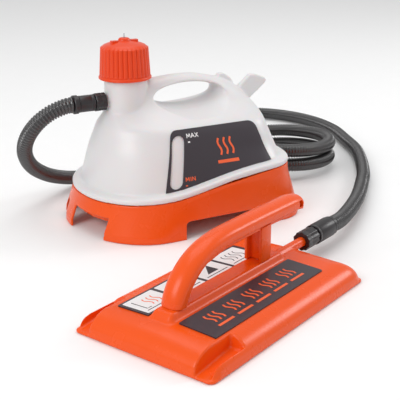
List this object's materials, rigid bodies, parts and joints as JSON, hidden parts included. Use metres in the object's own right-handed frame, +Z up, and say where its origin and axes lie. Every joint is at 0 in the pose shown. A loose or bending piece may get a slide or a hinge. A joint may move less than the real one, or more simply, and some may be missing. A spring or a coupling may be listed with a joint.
{
  "type": "wallpaper steamer",
  "caption": "Wallpaper steamer: white tank with loop handle on an orange base, ribbed filler cap, corrugated hose and a rectangular steam plate with a bar handle.",
  "frame": {"origin": "on the floor, under the middle of the tank and steam plate taken together", "axes": "+X to the right along the tank, towards its paddle hook; +Y from the steam plate to the tank; +Z up"},
  "size_m": [0.6763, 0.8164, 0.2397],
  "materials": {
    "orange_plastic": "satin",
    "cap_plastic": "satin",
    "white_plastic": "satin",
    "black_plastic": "satin",
    "label_film": "gloss",
    "hose_plastic": "satin",
    "rubber": "matte",
    "steel": "polished",
    "brass": "satin",
    "ceramic_cream": "satin",
    "wire_brown": "satin",
    "wire_blue": "satin"
  },
  "bodies": {
    "tank": {"tank_shell": "white_plastic", "tank_label": "label_film", "base_skirt": "orange_plastic", "base_tray": "orange_plastic", "tray_screw_1": "steel", "tray_screw_2": "steel", "tray_screw_3": "steel", "tray_screw_4": "steel", "heating_element": "steel", "element_screw_1": "steel", "element_screw_2": "steel", "dry_boil_cutout": "steel", "cable_gland": "black_plastic", "gland_nut": "black_plastic", "outlet_cuff": "black_plastic", "outlet_collar": "black_plastic", "element_gasket": "rubber", "outlet_seal": "rubber", "element_flange": "brass", "element_nut_1": "brass", "element_nut_2": "brass", "terminal_block": "ceramic_cream", "live_wire": "wire_brown", "neutral_wire": "wire_blue", "cutout_wire": "wire_blue", "hose_lead": "hose_plastic", "hose_coil": "hose_plastic", "hose_tail": "hose_plastic"},
    "cap_lift": {"cap_seal": "rubber"},
    "cap": {"filler_cap": "cap_plastic", "valve_seat": "brass", "valve_spring": "steel"},
    "valve": {"valve_stem": "steel"},
    "outlet_nut_body": {"outlet_nut": "black_plastic"},
    "plate": {"plate_shell": "orange_plastic", "handle_upper": "orange_plastic", "handle_lower": "orange_plastic", "handle_screw_front": "steel", "handle_screw_rear": "steel", "plate_label": "label_film", "guide_label": "label_film", "plate_cuff": "black_plastic", "plate_collar": "black_plastic", "plate_seal": "rubber"},
    "plate_nut_body": {"plate_nut": "black_plastic"}
  },
  "joints": [
    {"name": "cap_rise", "type": "slide", "parent": "tank", "child": "cap_lift", "axis": [0, 0, 1], "range_m": [0, 0.0091]},
    {"name": "cap_turn", "type": "hinge", "parent": "cap_lift", "child": "cap", "pos_m": [-0.0183, 0.1515, 0.2], "axis": [0, 0, 1], "range_deg": [0, 540]},
    {"name": "valve_lift", "type": "slide", "parent": "cap", "child": "valve", "axis": [0, 0, 1], "range_m": [0, 0.003], "stiffness_N_per_m": 200, "deforming": ["valve_spring"]},
    {"name": "outlet_nut_turn", "type": "hinge", "parent": "tank", "child": "outlet_nut_body", "pos_m": [-0.0556, 0.1515, 0.1575], "axis": [1, 0, 0], "range_deg": [0, 70]},
    {"name": "plate_lift", "type": "slide", "parent": "tank", "child": "plate", "axis": [0, 0, 1], "range_m": [0, 0.12]},
    {"name": "plate_nut_turn", "type": "hinge", "parent": "plate", "child": "plate_nut_body", "pos_m": [0.1032, -0.0752, 0.0235], "axis": [0.9171, 0.3987, 0], "range_deg": [0, 70]}
  ],
  "couplings": [
    {"joint": "cap_rise", "follows": "cap_turn", "m_per_rad": 0.00095493}
  ]
}
